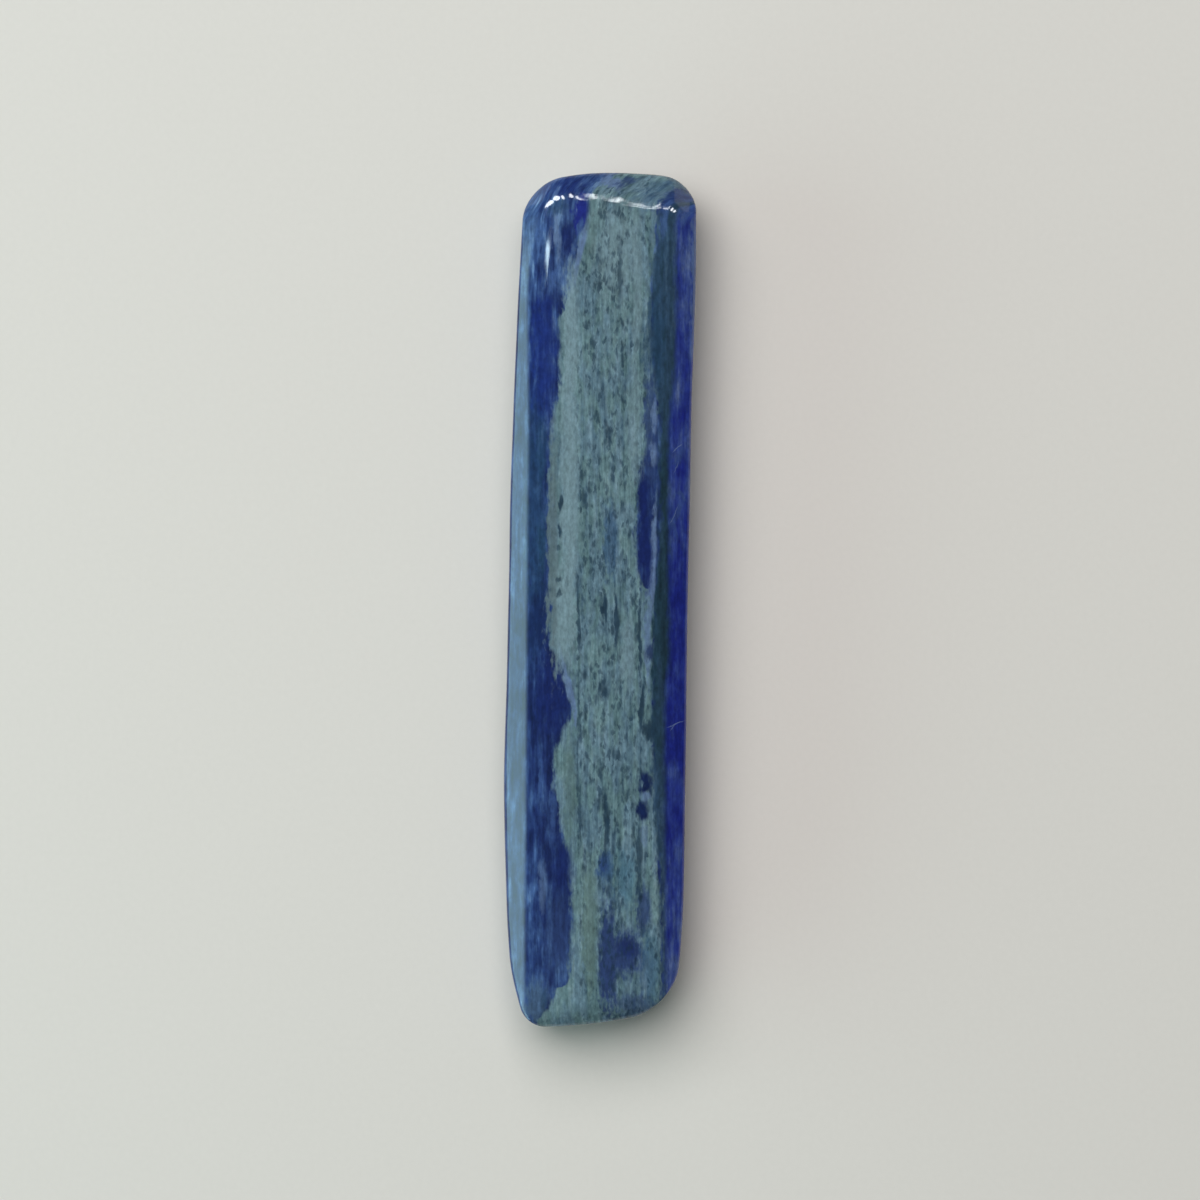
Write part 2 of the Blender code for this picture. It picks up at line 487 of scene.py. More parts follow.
BAND_MARKS = (
    # Smooth pale strip along the band's left edge
    Mark(Mineral.PALE_GREEN, -2.9, 26.5, 0.8, 6.5, strength=0.85),
    Mark(Mineral.PALE_GREEN, -3.1, 11.5, 0.9, 14.0, strength=0.7),
    Mark(Mineral.PALE_GREEN, -2.85, 8.0, 0.6, 12.0, strength=0.5),
    Mark(Mineral.PALE_GREEN, -3.8, -1.8, 1.2, 5.2, strength=0.8),
    Mark(Mineral.BROWN_GREY, -4.7, 5.0, 0.5, 11.0, strength=0.7),
    # Smooth greenish strips
    Mark(Mineral.PALE_GREEN, 3.4, 18.0, 0.65, 6.0, strength=0.5),
    Mark(Mineral.PALE_GREEN, 2.75, -5.5, 0.75, 3.6, strength=0.6),
    Mark(Mineral.PALE_GREEN, 3.7, 31.5, 0.5, 7.0, strength=0.6),
    Mark(Mineral.OLIVE_GREEN, -0.9, 36.4, 0.5, 3.0, strength=0.3),
    Mark(Mineral.OLIVE_GREEN, -1.1, -32.5, 0.8, 6.0, strength=0.8),
    Mark(Mineral.OLIVE_GREEN, -3.0, -18.5, 0.7, 5.0, strength=0.5),
    # Dark lines and spots
    Mark(Mineral.DARK_GREEN, -2.15, -2.5, 0.16, 4.5, strength=0.75),
    Mark(Mineral.DARK_GREEN, -2.1, -12.5, 0.15, 4.5, strength=0.6),
    Mark(Mineral.DARK_GREEN, -2.1, -22.0, 0.18, 3.5, strength=0.7),
    Mark(Mineral.DARK_GREEN, 0.45, -0.9, 0.3, 1.6, strength=0.9),
    Mark(Mineral.DARK_GREEN, 1.6, -1.9, 0.28, 2.8, strength=0.9),
    Mark(Mineral.DARK_GREEN, 0.3, -9.0, 0.6, 1.1, strength=0.7),
    Mark(Mineral.DARK_GREEN, 0.5, -22.3, 0.36, 3.4, strength=0.8),
    Mark(Mineral.DARK_GREEN, 3.95, -3.6, 0.2, 4.0, strength=0.8),
    Mark(Mineral.DARK_GREEN, 4.1, -10.3, 0.24, 2.4, strength=0.9),
    Mark(Mineral.DARK_GREEN, 3.85, -26.0, 0.34, 4.2, strength=0.75),
    Mark(Mineral.DARK_GREEN, -3.9, 9.6, 0.22, 0.65, strength=0.9),
    Mark(Mineral.DARK_GREEN, -3.95, 6.9, 0.22, 0.65, strength=0.9),
    Mark(Mineral.DARK_GREEN, -4.15, 5.2, 0.28, 0.3, strength=0.6),
    Mark(Mineral.DARK_GREEN, -4.1, 2.1, 0.35, 0.35, strength=0.7),
    Mark(Mineral.DARK_GREEN, -4.0, 0.7, 0.35, 0.3, strength=0.75),
    Mark(Mineral.DARK_GREEN, 1.9, 32.5, 0.25, 3.0, strength=0.7),
    Mark(Mineral.DARK_GREEN, 0.9, 16.5, 0.35, 0.9, strength=0.8),
)

EDGE_MARKS = (
    Mark(Mineral.DARK_TEAL, 5.3, 25.5, 1.1, 5.0, strength=0.6),
    Mark(Mineral.DUSK_BLUE, 5.0, 17.0, 0.65, 5.5, strength=0.8),
    Mark(Mineral.VIOLET_GREY, 5.4, 18.2, 0.3, 1.6, strength=0.8),
    Mark(Mineral.VIOLET_GREY, 5.2, 14.4, 0.4, 1.2, strength=0.8),
    Mark(Mineral.VIOLET_GREY, 5.3, 4.2, 0.26, 6.0, turn=-3.0, strength=0.95),
    Mark(Mineral.VIOLET_GREY, 4.7, -3.6, 0.36, 4.6, strength=0.65),
    Mark(Mineral.NAVY, 4.9, -5.3, 0.35, 0.9, strength=0.8),
    Mark(Mineral.DEEP_BLUE, 4.5, 5.2, 0.8, 3.5),
    Mark(Mineral.DEEP_BLUE, 4.3, 9.8, 0.5, 3.4),
    Mark(Mineral.DARK_GREEN, 4.95, -12.9, 0.7, 1.1, strength=0.9),
    Mark(Mineral.NAVY, 4.5, -18.3, 0.7, 1.1),
    Mark(Mineral.NAVY, 4.3, -20.9, 0.65, 0.95),
    Mark(Mineral.VIOLET_GREY, 4.6, -19.6, 0.5, 0.4, strength=0.7),
    Mark(Mineral.VIOLET_GREY, 4.4, -23.4, 0.35, 1.2, strength=0.5),
    Mark(Mineral.SOFT_BLUE, 7.6, 8.8, 0.35, 1.3, turn=-20.0, strength=0.5),
    Mark(Mineral.SOFT_BLUE, 7.9, 10.4, 0.3, 0.7, turn=59.0, strength=0.5),
    Mark(Mineral.SOFT_BLUE, 7.3, 7.0, 0.25, 1.0, turn=13.0, strength=0.5),
    Mark(Mineral.SOFT_BLUE, 7.7, 14.2, 0.3, 1.2, turn=-20.0, strength=0.45),
    # Painted reflection: a thin pale line along the steep right edge towards the head, standing in for the
    # reflection of the surface beside the stone
    Mark(Mineral.VIOLET_GREY, 9.1, 32.5, 0.3, 6.5, strength=0.6),
)


@dataclass(frozen=True)
class Scratch:
    """A hairline scratch on the polish, from one end to the other, in millimetres."""

    start: Pair
    end: Pair
    half_width: float = 0.07
    strength: float = 0.5


@dataclass(frozen=True)
class SpeckKind:
    """Dark specks: their spacing each way in millimetres, their seed, how rare and how dark they are."""

    spacing: Triple
    seed: float
    scarcity: float
    strength: float


@dataclass(frozen=True)
class Layers:
    """Where a point is in the stone's layers, and the noises that bend and fray them."""

    across: Link
    y: Link
    flow: Link
    fray: Link
    ragged: Link
    sway: Link
    fibres: Link


@dataclass(frozen=True)
class LapisFinish:
    """Polished lapis lazuli whose layers run along the bar, in millimetres."""

    thickness: float = 9.0
    dip: float = 0.1
    head_dip: float = 1.0
    head_dip_span: Pair = (37.5, 40.5)

    # Edges of the band and of the seam: pairs of a place along the bar and one across it
    left_edge: Knots = (
        (-43.0, -7.0), (-41.8, -6.3), (-41.0, -5.4), (-40.0, -4.8), (-38.7, -4.5), (-38.1, -3.2),
        (-34.0, -2.95), (-30.0, -2.85), (-26.5, -3.0), (-24.0, -3.7), (-20.5, -4.25),
        (-18.0, -4.75), (-15.5, -4.5), (-12.6, -3.6), (-11.5, -2.95), (-9.0, -3.6), (-6.0, -4.3),
        (-4.0, -5.1), (4.0, -5.1), (14.0, -4.95), (18.5, -4.75), (21.0, -4.0), (26.0, -4.05),
        (30.0, -3.35), (33.0, -2.6), (37.0, -1.7), (40.0, -1.25), (43.0, -0.6),
    )
    right_edge: Knots = (
        (-43.0, 6.2), (-30.0, 6.1), (-24.0, 5.8), (-17.0, 5.5), (-6.0, 5.4), (-0.5, 5.5),
        (1.5, 4.3), (5.0, 3.7), (12.0, 4.1), (16.0, 5.0), (20.0, 5.6), (26.0, 5.2), (32.0, 5.3),
        (36.0, 5.7), (43.0, 6.2),
    )
    seam_start: Knots = (
        (-43.0, 6.0), (-30.0, 5.9), (-24.0, 5.6), (-17.0, 5.2), (-10.0, 5.0), (-3.0, 5.2),
        (0.0, 5.2), (3.0, 5.7), (10.0, 5.9), (18.0, 5.9), (22.0, 5.6), (26.0, 5.0), (30.0, 5.0),
        (36.0, 5.5), (43.0, 5.6),
    )
    seam_end: Knots = (
        (-43.0, 6.3), (-15.0, 6.3), (-9.0, 6.3), (-6.0, 6.8), (15.0, 6.8), (22.0, 7.3), (30.0, 7.5),
        (43.0, 7.4),
    )

    # How light the seam and the blue sides are along the bar, and how dense the specks are across it
    seam_tone: Knots = (
        (-43.0, 0.75), (-30.0, 0.72), (-22.0, 0.55), (-12.0, 0.42), (0.0, 0.22), (16.0, 0.3),
        (24.0, 0.55), (43.0, 0.6),
    )
    left_light: Knots = (
        (-43.0, 0.62), (-35.0, 0.52), (-27.0, 0.5), (-20.0, 0.42), (-9.0, 0.36), (-2.0, 0.38),
        (3.0, 0.48), (17.0, 0.5), (28.0, 0.5), (34.0, 0.68), (43.0, 0.72),
    )
    right_light: Knots = (
        (-43.0, 0.68), (-34.0, 0.66), (-27.0, 0.54), (-18.0, 0.42), (-4.0, 0.38), (4.0, 0.46),
        (12.0, 0.6), (28.0, 0.62), (36.0, 0.66), (43.0, 0.6),
    )
    speck_density: Knots = (
        (-6.0, 0.5), (-4.0, 0.2), (-2.7, 0.3), (-1.8, 0.9), (0.5, 1.0), (3.4, 0.85), (5.2, 0.7),
    )

    # Specks
    speck_kinds: tuple[SpeckKind, ...] = (
        SpeckKind((0.46, 1.05, 0.7), 31.0, 0.72, 0.9),
        SpeckKind((0.32, 0.7, 0.5), 33.0, 0.68, 0.75),
        SpeckKind((0.75, 1.8, 1.0), 35.0, 0.98, 1.0),
    )
    speck_radius: float = 0.75
    speck_cover: float = 0.8
    speck_columns: Pattern = Pattern((0.7, 7.0, 2.5), detail=1.0, seed=37.0, weight=1.1)

    # Noises that bend and fray the layers
    fray: Pattern = Pattern((0.6, 1.9, 0.9), detail=3.0)
    ragged: Pattern = Pattern((0.32, 0.85, 0.45), seed=15.0)
    sway: Pattern = Pattern((2.0, 6.0, 2.5), detail=1.0, seed=3.1)
    fibres: Pattern = Pattern((0.25, 3.4, 0.6), seed=41.0)

    # Noises that make the colours lighter and darker, and where the right side's blue starts
    blue_streaks: Pattern = Pattern((0.55, 4.2, 1.2), detail=3.0, seed=7.7, weight=1.1)
    blue_clouds: Pattern = Pattern((1.3, 2.6, 1.6), detail=3.0, seed=1.9, weight=1.15)
    band_streams: Pattern = Pattern((0.9, 9.0, 2.4), seed=11.3, weight=0.8)
    band_streaks: Pattern = Pattern((0.32, 3.2, 0.8), detail=3.0, seed=13.1, weight=0.8)
    band_crystals: Pattern = Pattern((0.38, 0.7, 0.5), seed=5.2, weight=0.5)
    band_lines: Pattern = Pattern((0.26, 7.0, 1.5), detail=1.0, seed=19.0, weight=0.55)
    band_hue: Pattern = Pattern((1.1, 4.5, 2.0), seed=17.0)
    band_tone: float = 0.56
    seam_streaks: Pattern = Pattern((0.5, 5.0, 1.2), detail=3.0, seed=23.0, weight=0.9)
    grains: Pattern = Pattern((0.2, 0.36, 0.25), seed=43.0, weight=0.5)
    mottle: Pattern = Pattern((0.42, 0.95, 0.6), seed=45.0, weight=0.95)
    right_side_start: Pair = (6.0, 6.9)

    # Polish: its ripples, the scratches' wobble and its roughness
    ripples: Pattern = Pattern((0.7, 0.9, 0.7), seed=47.0)
    ripple_height: float = 0.0012
    wobble: Pattern = Pattern((0.7, 0.7, 0.7), seed=51.0)
    polish: float = 0.06

    # Tones from dark to light
    left_blues: Tones = (
        (0.0, (13, 27, 60)), (0.3, (22, 37, 82)), (0.55, (36, 56, 101)), (0.8, (60, 86, 130)),
        (1.0, (94, 122, 158)),
    )
    right_blues: Tones = (
        (0.0, (14, 27, 108)), (0.35, (24, 38, 128)), (0.6, (44, 63, 138)), (0.8, (66, 87, 146)),
        (1.0, (100, 120, 162)),
    )
    greens: Tones = (
        (0.0, (44, 67, 74)), (0.3, (70, 95, 101)), (0.5, (86, 113, 119)), (0.7, (99, 126, 132)),
        (1.0, (118, 143, 149)),
    )
    greys: Tones = (
        (0.0, (42, 65, 82)), (0.3, (68, 92, 108)), (0.5, (85, 111, 125)), (0.7, (99, 125, 139)),
        (1.0, (118, 143, 157)),
    )
    seams: Tones = (
        (0.0, (20, 42, 54)), (0.3, (29, 53, 68)), (0.6, (42, 66, 90)), (1.0, (68, 94, 114)),
    )

    # Single marks, the lowest first, and the scratches
    patches: tuple[Mark, ...] = BAND_PATCHES
    marks: tuple[Mark, ...] = HEAD_MARKS + LEFT_MARKS + BAND_MARKS + EDGE_MARKS
    scratches: tuple[Scratch, ...] = (
        Scratch((6.5, -12.75), (8.6, -11.9)),
        Scratch((6.9, -13.1), (7.6, -12.2), strength=0.35),
        Scratch((7.1, 14.6), (8.3, 15.7)),
        Scratch((7.3, 12.4), (7.9, 13.9), strength=0.3),
        Scratch((6.9, 7.3), (7.9, 9.6), strength=0.35),
    )

    def material(self) -> bpy.types.Material:
        """Builds the material.

        Returns:
            The finished material.
        """
        material = bpy.data.materials.new("polished_lapis")
        shader = Shader(material, "Principled BSDF")
        layers = self._layers(shader)
        band = self._band_mask(shader, layers)
        tint = shader.blend(band, self._blue_sides(shader, layers), self._band_colour(shader, layers))
        tint = self._lay_marks(shader, layers, self.patches, tint)
        specks = self._specks(shader, layers) * band
        tint = shader.blend(specks * self.speck_cover, tint, Mineral.DARK_GREEN.linear)
        tint = self._seam(shader, layers, tint)
        tint = self._lay_marks(shader, layers, self.marks, tint)
        tint = self._grain(shader, layers, tint)
        scratched = self._scratched(shader)
        tint = shader.blend(scratched, tint, Mineral.PALE_BLUE.linear)
        shader.feed(shader.result.inputs["Base Color"], tint)
        self._gloss(shader, layers, band, specks, scratched)
        return material

    def _layers(self, shader: Shader) -> Layers:
        """Follows the layers, which stand almost upright and lean to the right at the head.

        Args:
            shader: The material's nodes.

        Returns:
            Where a point is in them.
        """
        x, y, z = shader.parts(shader.place())
        depth = self.thickness - z
        start, end = self.head_dip_span
        across = x - depth * (shader.level(y, start, end, top=self.head_dip) + self.dip)
        flow = shader.joined(across, y, depth)
        return Layers(
            across=across,
            y=y,
            flow=flow,
            fray=shader.noise(flow, self.fray),
            ragged=shader.noise(flow, self.ragged),
            sway=shader.noise(flow, self.sway),
            fibres=shader.noise(flow, self.fibres),
        )

    def _blue_sides(self, shader: Shader, layers: Layers) -> Link:
        """Blue stone on both sides of the band, streaked along the bar.

        Args:
            shader: The material's nodes.
            layers: The stone's layers.

        Returns:
            Its colour.
        """
        streaks = shader.noise(layers.flow, self.blue_streaks)
        change = streaks + shader.noise(layers.flow, self.blue_clouds) + layers.fibres * 0.4
        left = shader.ramp(shader.curve(layers.y, self.left_light) + change, self.left_blues)
        right = shader.ramp(shader.curve(layers.y, self.right_light) + change * 0.8, self.right_blues)
        return shader.blend(shader.level(layers.across, *self.right_side_start), left, right)

    def _band_mask(self, shader: Shader, layers: Layers) -> Link:
        """Where the grey-green band is.

        Args:
            shader: The material's nodes.
            layers: The stone's layers.

        Returns:
            1 on the band and 0 beside it.
        """
        left = shader.curve(layers.y, self.left_edge)
        right = shader.curve(layers.y, self.right_edge)
        fuzz = layers.fray * 1.5 + layers.ragged * 0.8
        inside_left = shader.level(layers.across - left + fuzz, -0.28, 0.32)
        inside_right = shader.level(right - layers.across + fuzz * 1.3, -0.25, 0.3)
        return inside_left * inside_right

    def _band_colour(self, shader: Shader, layers: Layers) -> Link:
        """Grey-green stone of the band, in streams of green, grey and pale.

        Args:
            shader: The material's nodes.
            layers: The stone's layers.

        Returns:
            Its colour.
        """
        tone = shader.noise(layers.flow, self.band_streams)
        for pattern in (self.band_streaks, self.band_crystals, self.band_lines):
            tone = tone + shader.noise(layers.flow, pattern)
        tone = tone + self.band_tone
        hue = shader.noise(layers.flow, self.band_hue)
        green, grey = shader.ramp(tone, self.greens), shader.ramp(tone, self.greys)
        return shader.blend(shader.level(hue + 0.5, 0.4, 0.6), green, grey)

    def _specks(self, shader: Shader, layers: Layers) -> Link:
        """Dark specks in the band, longer than wide, which gather in columns.

        Args:
            shader: The material's nodes.
            layers: The stone's layers.

        Returns:
            1 in the darkest and 0 between them.
        """
        density = shader.curve(layers.across, self.speck_density)
        push = density * 0.5 + shader.noise(layers.flow, self.speck_columns)
        place = shader.joined(
            layers.across + layers.ragged * 0.7,
            layers.y + layers.fray * 1.8,
            self.thickness,
        )
        joined: Link | float = 0.0
        for kind in self.speck_kinds:
            away, lot = shader.cells(place, kind.spacing, kind.seed)
            radius = (lot + push - kind.scarcity) * self.speck_radius
            speck = shader.level(radius - away, -0.2, 0.3, top=kind.strength)
            joined = shader.sum("MAXIMUM", joined, speck)
        return joined * shader.level(density, 0.0, 0.5)

    def _seam(self, shader: Shader, layers: Layers, tint: Link) -> Link:
        """Lays the dark seam between the band and the blue of the right side.

        Args:
            shader: The material's nodes.
            layers: The stone's layers.
            tint: The colours under it.

        Returns:
            The colours with the seam.
        """
        start = shader.curve(layers.y, self.seam_start)
        beyond_start = layers.across - start + layers.fray * 1.4 + layers.ragged * 0.8
        inside = shader.level(beyond_start, -0.3, 0.35)
        end = shader.curve(layers.y, self.seam_end)
        outside = shader.level(layers.across - end + layers.fray * 0.9, -0.4, 0.5)
        streaks = shader.noise(layers.flow, self.seam_streaks)
        tone = shader.curve(layers.y, self.seam_tone) + streaks + layers.ragged * 0.5
        return shader.blend(inside * (1.0 - outside), tint, shader.ramp(tone, self.seams))

    def _lay_marks(self, shader: Shader, layers: Layers, marks: tuple[Mark, ...], tint: Link) -> Link:
        """Lays each mark over the colours under it.

        Args:
            shader: The material's nodes.
            layers: The stone's layers.
            marks: The marks, the lowest first.
            tint: The colours under them.

        Returns:
            The colours with the marks.
        """
        shifted = layers.across + layers.fray * 0.7 + layers.ragged * 0.4 + layers.sway * 0.6
        place = shader.joined(shifted, layers.y + layers.fray * 1.6, 0.0)
        turned = {turn: shader.turned(place, turn) for turn in sorted({mark.turn for mark in marks})}
        ragged = layers.ragged * 1.3 + layers.fray * 0.5
        for mark in marks:
            size = (mark.half_width, mark.half_length)
            away = shader.ellipse(turned[mark.turn], (mark.x, mark.y), size, mark.turn)
            share = shader.level(ragged - away, -1.4, -0.5, top=mark.strength)
            tint = shader.blend(share, tint, mark.mineral.linear)
        return tint

    def _grain(self, shader: Shader, layers: Layers, tint: Link) -> Link:
        """Makes the colours lighter and darker by fine fibres and grains.

        Args:
            shader: The material's nodes.
            layers: The stone's layers.
            tint: The colours.

        Returns:
            The grained colours.
        """
        grains = shader.noise(layers.flow, self.grains)
        mottle = shader.noise(layers.flow, self.mottle)
        strength = 1.0 + layers.fibres * 0.35 + grains + mottle
        return shader.blend(1.0, tint, shader.joined(strength, strength, strength), mode="MULTIPLY")

    def _scratched(self, shader: Shader) -> Link:
        """Where the hairline scratches are.

        Args:
            shader: The material's nodes.

        Returns:
            The strength of a scratch, or 0 beside them.
        """
        place = shader.place()
        wobble = shader.noise(place, self.wobble)
        x, y, _ = shader.parts(place)
        where = shader.joined(x + wobble * 0.3, y - wobble * 0.3, 0.0)
        joined: Link | float = 0.0
        for scratch in self.scratches:
            run, rise = scratch.end[0] - scratch.start[0], scratch.end[1] - scratch.start[1]
            turn = math.degrees(math.atan2(-run, rise))
            middle = (scratch.start[0] + run / 2, scratch.start[1] + rise / 2)
            size = (scratch.half_width, math.hypot(run, rise) / 2)
            away = shader.ellipse(shader.turned(where, turn), middle, size, turn)
            line = shader.level(1.0 - away, 0.0, 0.5, top=scratch.strength)
            joined = shader.sum("MAXIMUM", joined, line)
        return joined

    def _gloss(self, shader: Shader, layers: Layers, band: Link, specks: Link, scratched: Link) -> None:
        """Polish that is a little duller on the band, where softer grains are worn a little lower.

        Args:
            shader: The material's nodes.
            layers: The stone's layers.
            band: Where the band is.
            specks: Where its dark specks are.
            scratched: Where the scratches are.
        """
        ripples = shader.noise(layers.flow, self.ripples)
        surface = shader.result.inputs
        roughness = band * 0.01 + specks * 0.03 + ripples * 0.02 + scratched * 0.4 + self.polish
        shader.feed(surface["Roughness"], roughness)
        height = ripples * 0.5 - specks * 0.5 - band * 0.2 - scratched * 1.5
        shader.feed(surface["Normal"], shader.bump(height, self.ripple_height * MM))
        surface["IOR"].default_value = 1.5
        surface["Specular IOR Level"].default_value = 0.5


# The stone's surface


@dataclass(frozen=True)
class Bevel:
    """A bevel ground into the top towards one side: it falls away beyond a bowed ridge worn round."""

    towards: Pair
    ridge: Knots
    tilt: float
    radius: float


@dataclass(frozen=True)
class StoneShape:
    """The bar's surface as faces that are ground one after the other, in millimetres and degrees."""

    thickness: float = 9.0
    thinning: float = 0.005
    crown_across: float = 90.0
    crown_along: float = 2500.0
    left_side: Knots = (
        (-44.0, 6.9), (-40.0, 8.15), (-37.0, 8.85), (-33.0, 9.22), (-28.0, 9.42), (-20.0, 9.6),
        (-6.0, 9.25), (10.0, 8.95), (26.0, 8.35), (37.0, 7.8), (44.0, 7.35),
    )
    right_side: Knots = (
        (-44.0, 6.5), (-38.0, 7.7), (-33.0, 8.2), (-20.0, 8.5), (0.0, 8.8), (20.0, 9.2),
        (34.0, 9.6), (44.0, 9.6),
    )
    head_end: Knots = ((-10.0, 41.3), (-5.0, 42.0), (-1.0, 42.58), (2.0, 42.66), (5.5, 42.5), (10.0, 41.8))
    foot_end: Knots = ((-10.0, 42.5), (-5.5, 42.6), (0.0, 42.22), (4.0, 41.5), (10.0, 39.6))
    head_left_radius: float = 3.8
    head_right_radius: float = 3.1
    foot_left_radius: float = 1.9
    foot_right_radius: float = 3.8
    bevels: tuple[Bevel, ...] = (
        Bevel(
            towards=(-1.0, 0.0),
            ridge=(
                (-44.0, 6.65), (-30.0, 6.6), (-20.0, 6.5), (-6.0, 6.4), (6.0, 6.35), (14.0, 6.22),
                (22.0, 6.25), (27.0, 6.28), (31.0, 6.28), (33.2, 6.15), (35.2, 5.87), (37.2, 5.45),
                (39.2, 4.95), (44.0, 3.5),
            ),
            tilt=33.0,
            radius=4.4,
        ),
        Bevel(towards=(1.0, 0.0), ridge=((-44.0, 6.2), (0.0, 6.5), (44.0, 7.7)), tilt=36.0, radius=2.2),
        Bevel(
            towards=(0.0, 1.0),
            ridge=(
                (-9.0, 35.5), (-6.6, 38.0), (-5.2, 39.6), (-4.0, 40.2), (-0.9, 40.4), (2.0, 40.05),
                (4.4, 39.6), (6.4, 39.3), (7.6, 38.8), (9.0, 37.3),
            ),
            tilt=38.0,
            radius=2.4,
        ),
        Bevel(towards=(0.0, -1.0), ridge=((-10.0, 42.0), (10.0, 39.3)), tilt=40.0, radius=2.4),
    )
    side_lean: float = 0.06
    girdle_z: float = 5.4
    girdle_radius: float = 0.5
    girdle_turn: float = 56.0
    under_bevel: float = 2.3
    under_tilt: float = 36.0
    under_radius: float = 2.6

    def outside(self, points: np.ndarray) -> np.ndarray:
        """How far points are outside the stone.

        Args:
            points: One row of x, y and z for each point.

        Returns:
            A distance for each point, less than 0 inside the stone.
        """
        x, y, z = points.T
        top = self.thickness + self.thinning * y
        top = top - x * x / (2 * self.crown_across) - y * y / (2 * self.crown_along)
        above = z - top
        skin = above
        for bevel in self.bevels:
            across, along = bevel.towards
            beyond = x * across + y * along - self._bowed(bevel.ridge, y * abs(across) + x * abs(along))
            skin = self._worn(skin, self._slope(beyond, above, bevel.tilt), bevel.radius, bevel.tilt)
        side = self._outside_outline(x, y) + self.side_lean * np.maximum(self.girdle_z - z, 0.0)
        skin = self._worn(skin, side, self.girdle_radius, self.girdle_turn)
        under = self._slope(side + self.under_bevel, -z, self.under_tilt)
        skin = self._worn(skin, under, self.under_radius, 90.0 - self.under_tilt)
        return self._worn(skin, -z, self.under_radius, self.under_tilt)

    def _outside_outline(self, x: np.ndarray, y: np.ndarray) -> np.ndarray:
        """How far points are outside the outline seen from above.

        Args:
            x: Their places across the bar.
            y: Their places along it.

        Returns:
            A distance for each point, less than 0 inside the outline.
        """
        left, right = -x - self._bowed(self.left_side, y), x - self._bowed(self.right_side, y)
        head, foot = y - self._bowed(self.head_end, x), -y - self._bowed(self.foot_end, x)
        corners = (
            self._worn(left, head, self.head_left_radius),
            self._worn(right, head, self.head_right_radius),
            self._worn(left, foot, self.foot_left_radius),
            self._worn(right, foot, self.foot_right_radius),
        )
        return np.maximum.reduce(corners)

    @staticmethod
    def _bowed(knots: Knots, place: np.ndarray) -> np.ndarray:
        """Reads a smooth line through knots.

        Args:
            knots: Pairs of a place and the line's distance there, from the lowest place to the highest.
            place: Where to read it.

        Returns:
            The line's distance at each place.
        """
        places, distances = np.array(knots).T
        slopes = np.gradient(distances, places)
        before = np.clip(np.searchsorted(places, place) - 1, 0, len(places) - 2)
        span = places[before + 1] - places[before]
        share = np.clip((place - places[before]) / span, 0.0, 1.0)
        rise = (distances[before + 1] - distances[before]) * share * share * (3 - 2 * share)
        bend = slopes[before] * (1 - share) - slopes[before + 1] * share
        return distances[before] + rise + span * share * (1 - share) * bend

    @staticmethod
    def _worn(first: np.ndarray, second: np.ndarray, radius: float, turn: float = 90.0) -> np.ndarray:
        """Joins two faces, with the edge between them worn round.

        Args:
            first: How far points are outside the first face.
            second: How far they are outside the second one.
            radius: The worn edge's radius.
            turn: The angle by which the faces turn where they meet, in degrees.

        Returns:
            How far the points are outside both.
        """
        angle = math.radians(turn)
        depth = radius * math.sin(angle) * math.tan(angle / 2)
        over_first = np.maximum(first + depth, 0.0)
        over_second = np.maximum(second + depth, 0.0)
        return np.minimum(np.maximum(first, second), -depth) + np.hypot(over_first, over_second)

    @staticmethod
    def _slope(across: np.ndarray, above: np.ndarray, tilt: float) -> np.ndarray:
        """Distance above a face that falls away from the line where across and above are 0."""
        angle = math.radians(tilt)
        return across * math.sin(angle) + above * math.cos(angle)


@dataclass(frozen=True)
class Wave:
    """Faint unevenness of the polished surface, in millimetres."""

    height: float
    length: float
    seed: float


